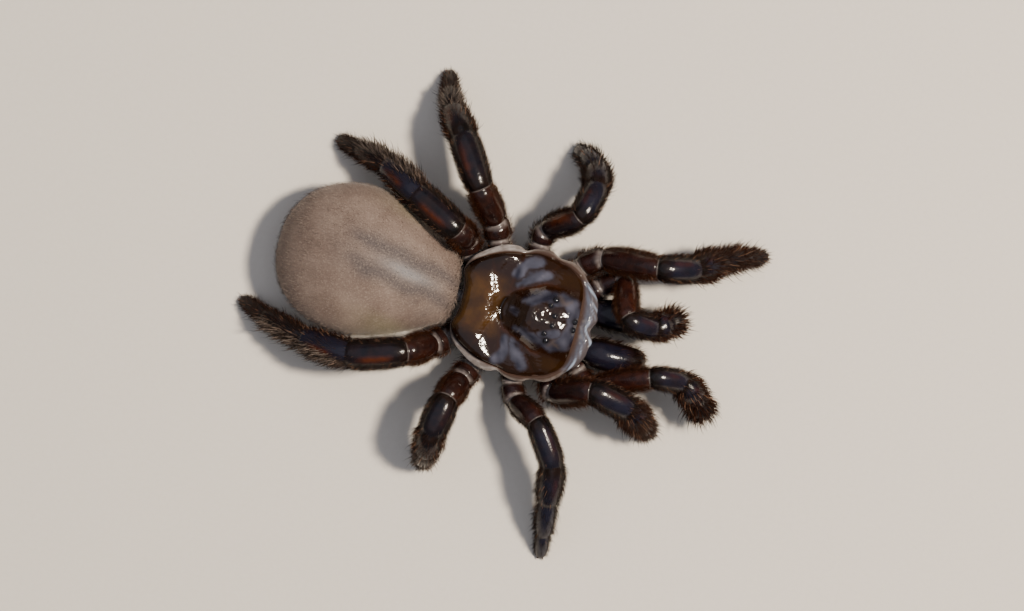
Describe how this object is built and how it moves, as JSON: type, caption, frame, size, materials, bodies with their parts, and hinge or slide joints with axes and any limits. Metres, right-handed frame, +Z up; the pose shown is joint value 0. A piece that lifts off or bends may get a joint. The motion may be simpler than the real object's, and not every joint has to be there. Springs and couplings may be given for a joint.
{
  "type": "trapdoor spider",
  "caption": "Still, life-size trapdoor spider with a domed glossy carapace, a velvety egg-shaped abdomen and short stout bristly legs.",
  "frame": {"origin": "middle of the whole animal's box on the floor it stands on", "axes": "+X to the head, +Y to the spider's left, +Z up"},
  "size_m": [0.0522, 0.047, 0.0103],
  "materials": {
    "dark_shell": "blue-black to brown glossy cuticle with short dark bristles",
    "head_shield": "glossy olive-amber and blue-black cuticle",
    "breast_shell": "satin brown cuticle",
    "abdomen_skin": "velvety grey-brown skin under very short down",
    "spinneret_skin": "matt pale brown skin",
    "eye_lens": "polished black lens",
    "fang_shell": "polished black-red cuticle"
  },
  "bodies": {
    "root": {"carapace": "head_shield", "breast_plate": "breast_shell", "waist": "breast_shell", "abdomen": "abdomen_skin", "spinneret_outer_left": "spinneret_skin", "spinneret_outer_right": "spinneret_skin", "spinneret_inner_left": "spinneret_skin", "spinneret_inner_right": "spinneret_skin", "chelicera_left": "dark_shell", "fang_left": "fang_shell", "chelicera_right": "dark_shell", "fang_right": "fang_shell", "eye_front_left": "eye_lens", "eye_front_right": "eye_lens", "eye_middle_left": "eye_lens", "eye_middle_right": "eye_lens", "eye_rear_outer_left": "eye_lens", "eye_rear_outer_right": "eye_lens", "eye_rear_inner_left": "eye_lens", "eye_rear_inner_right": "eye_lens", "leg_1_left_coxa": "dark_shell", "leg_1_left_femur": "dark_shell", "leg_1_left_tibia": "dark_shell", "leg_1_left_foot": "dark_shell", "leg_2_left_coxa": "dark_shell", "leg_2_left_femur": "dark_shell", "leg_2_left_tibia": "dark_shell", "leg_2_left_foot": "dark_shell", "leg_3_left_coxa": "dark_shell", "leg_3_left_femur": "dark_shell", "leg_3_left_tibia": "dark_shell", "leg_3_left_foot": "dark_shell", "leg_4_left_coxa": "dark_shell", "leg_4_left_femur": "dark_shell", "leg_4_left_tibia": "dark_shell", "leg_4_left_foot": "dark_shell", "palp_left_coxa": "dark_shell", "palp_left_femur": "dark_shell", "palp_left_end": "dark_shell", "leg_1_right_coxa": "dark_shell", "leg_1_right_femur": "dark_shell", "leg_1_right_tibia": "dark_shell", "leg_1_right_foot": "dark_shell", "leg_2_right_coxa": "dark_shell", "leg_2_right_femur": "dark_shell", "leg_2_right_tibia": "dark_shell", "leg_2_right_foot": "dark_shell", "leg_3_right_coxa": "dark_shell", "leg_3_right_femur": "dark_shell", "leg_3_right_tibia": "dark_shell", "leg_3_right_foot": "dark_shell", "leg_4_right_coxa": "dark_shell", "leg_4_right_femur": "dark_shell", "leg_4_right_tibia": "dark_shell", "leg_4_right_foot": "dark_shell", "palp_right_coxa": "dark_shell", "palp_right_femur": "dark_shell", "palp_right_end": "dark_shell"}
  },
  "joints": []
}
